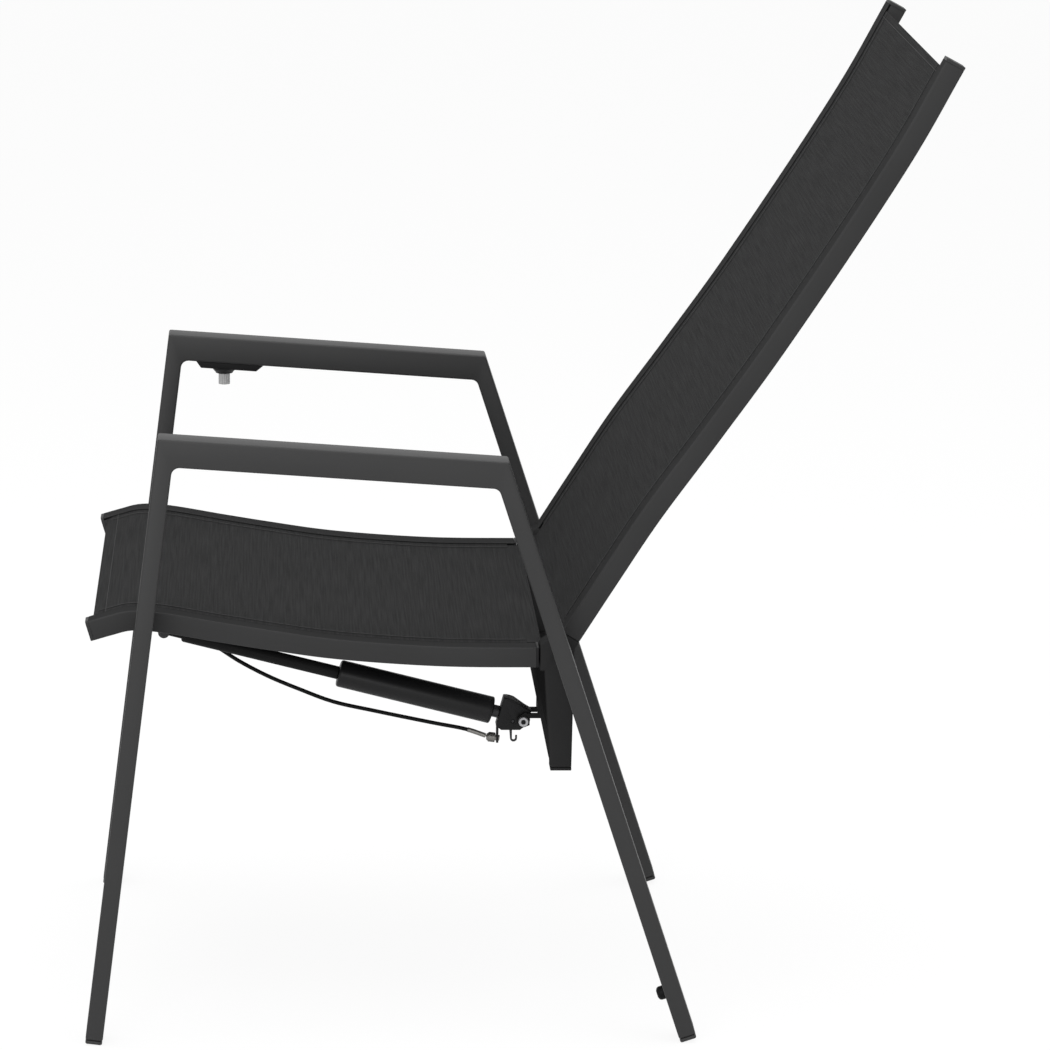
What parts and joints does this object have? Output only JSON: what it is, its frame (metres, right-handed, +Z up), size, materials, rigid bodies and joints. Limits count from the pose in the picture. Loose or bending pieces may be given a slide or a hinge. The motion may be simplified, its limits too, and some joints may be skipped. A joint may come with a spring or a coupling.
{
  "type": "sling patio chair",
  "caption": "High-backed reclining patio armchair with stretched sling seat and back on splayed tube side frames, held by a lockable gas spring under the seat.",
  "frame": {"origin": "on the floor, below the middle of the chair's width and of its depth, front foot to top of the reclined back", "axes": "+Z up, -Y the way the sitter faces, +X towards the sitter's left"},
  "size_m": [0.6, 0.9176, 1.0603],
  "materials": {
    "frame_paint": "anthracite powder coat, fine satin texture",
    "black_plastic": "moulded black plastic",
    "sling_fabric": "coated mesh weave, charcoal",
    "spring_black": "smooth black paint",
    "rod_steel": "dark nitrided steel",
    "bright_steel": "zinc plated, bright"
  },
  "bodies": {
    "frame": {"front_leg_left": "frame_paint", "front_leg_right": "frame_paint", "rear_leg_left": "frame_paint", "rear_leg_right": "frame_paint", "armrest_left": "frame_paint", "armrest_right": "frame_paint", "front_foot_left": "black_plastic", "front_foot_right": "black_plastic", "rear_foot_left": "black_plastic", "rear_foot_right": "black_plastic", "stack_bumper_left": "black_plastic", "stack_bumper_right": "black_plastic", "seat_rail_left": "frame_paint", "seat_rail_right": "frame_paint", "seat_rail_cap_left": "black_plastic", "seat_rail_cap_right": "black_plastic", "front_spacer_left": "black_plastic", "front_spacer_right": "black_plastic", "seat_bolt_left": "rod_steel", "seat_bolt_right": "rod_steel", "hinge_plate_left": "frame_paint", "hinge_plate_right": "frame_paint", "pivot_spacer_left": "black_plastic", "pivot_spacer_right": "black_plastic", "pivot_bolt_left": "rod_steel", "pivot_bolt_right": "rod_steel", "front_hem_bar": "frame_paint", "seat_front_crossbar": "frame_paint", "seat_rear_crossbar": "frame_paint", "spring_front_bracket": "frame_paint", "spring_front_pin": "rod_steel", "release_cable": "black_plastic", "cable_grommet": "black_plastic", "release_housing": "black_plastic", "seat_sling": "sling_fabric"},
    "back": {"back_rail_left": "frame_paint", "back_rail_right": "frame_paint", "back_rail_cap_left": "black_plastic", "back_rail_cap_right": "black_plastic", "back_lever_left": "frame_paint", "back_lever_right": "frame_paint", "lever_cap_left": "black_plastic", "lever_cap_right": "black_plastic", "pivot_bush_left": "black_plastic", "pivot_bush_right": "black_plastic", "lever_crossbar": "frame_paint", "back_lower_crossbar": "frame_paint", "back_upper_crossbar": "frame_paint", "spring_rear_pin": "bright_steel", "back_sling": "sling_fabric"},
    "spring_cylinder": {"spring_extension": "spring_black", "gas_cylinder": "spring_black", "cylinder_gland": "spring_black"},
    "spring_rod": {"piston_rod": "rod_steel", "release_head": "black_plastic", "cable_adjuster": "rod_steel", "release_lever_pin": "rod_steel"},
    "release_lever": {"release_lever": "black_plastic"},
    "release_button": {"release_button": "bright_steel"}
  },
  "joints": [
    {"name": "back_recline", "type": "hinge", "parent": "frame", "child": "back", "pos_m": [0, 0.04815, 0.425], "axis": [-1, 0, 0], "range_deg": [-22, 0]},
    {"name": "spring_swing", "type": "hinge", "parent": "frame", "child": "spring_cylinder", "pos_m": [0, -0.37985, 0.38095], "axis": [1, 0, 0], "range_deg": [0, 2]},
    {"name": "rod_slide", "type": "slide", "parent": "spring_cylinder", "child": "spring_rod", "axis": [0, 0.9698, -0.2438], "range_m": [0, 0.055]},
    {"name": "button_press", "type": "slide", "parent": "frame", "child": "release_button", "axis": [0, 0, 1], "range_m": [0, 0.005], "stiffness_N_per_m": 400, "springref_m": -0.002},
    {"name": "release_pull", "type": "hinge", "parent": "spring_rod", "child": "release_lever", "pos_m": [0, 0.00955, 0.2786], "axis": [-1, 0, 0], "range_deg": [0, 15]}
  ],
  "couplings": [
    {"joint": "spring_swing", "follows": "back_recline", "ratio": -0.07},
    {"joint": "rod_slide", "follows": "back_recline", "m_per_rad": -0.143},
    {"joint": "release_pull", "follows": "button_press", "rad_per_m": 50}
  ]
}
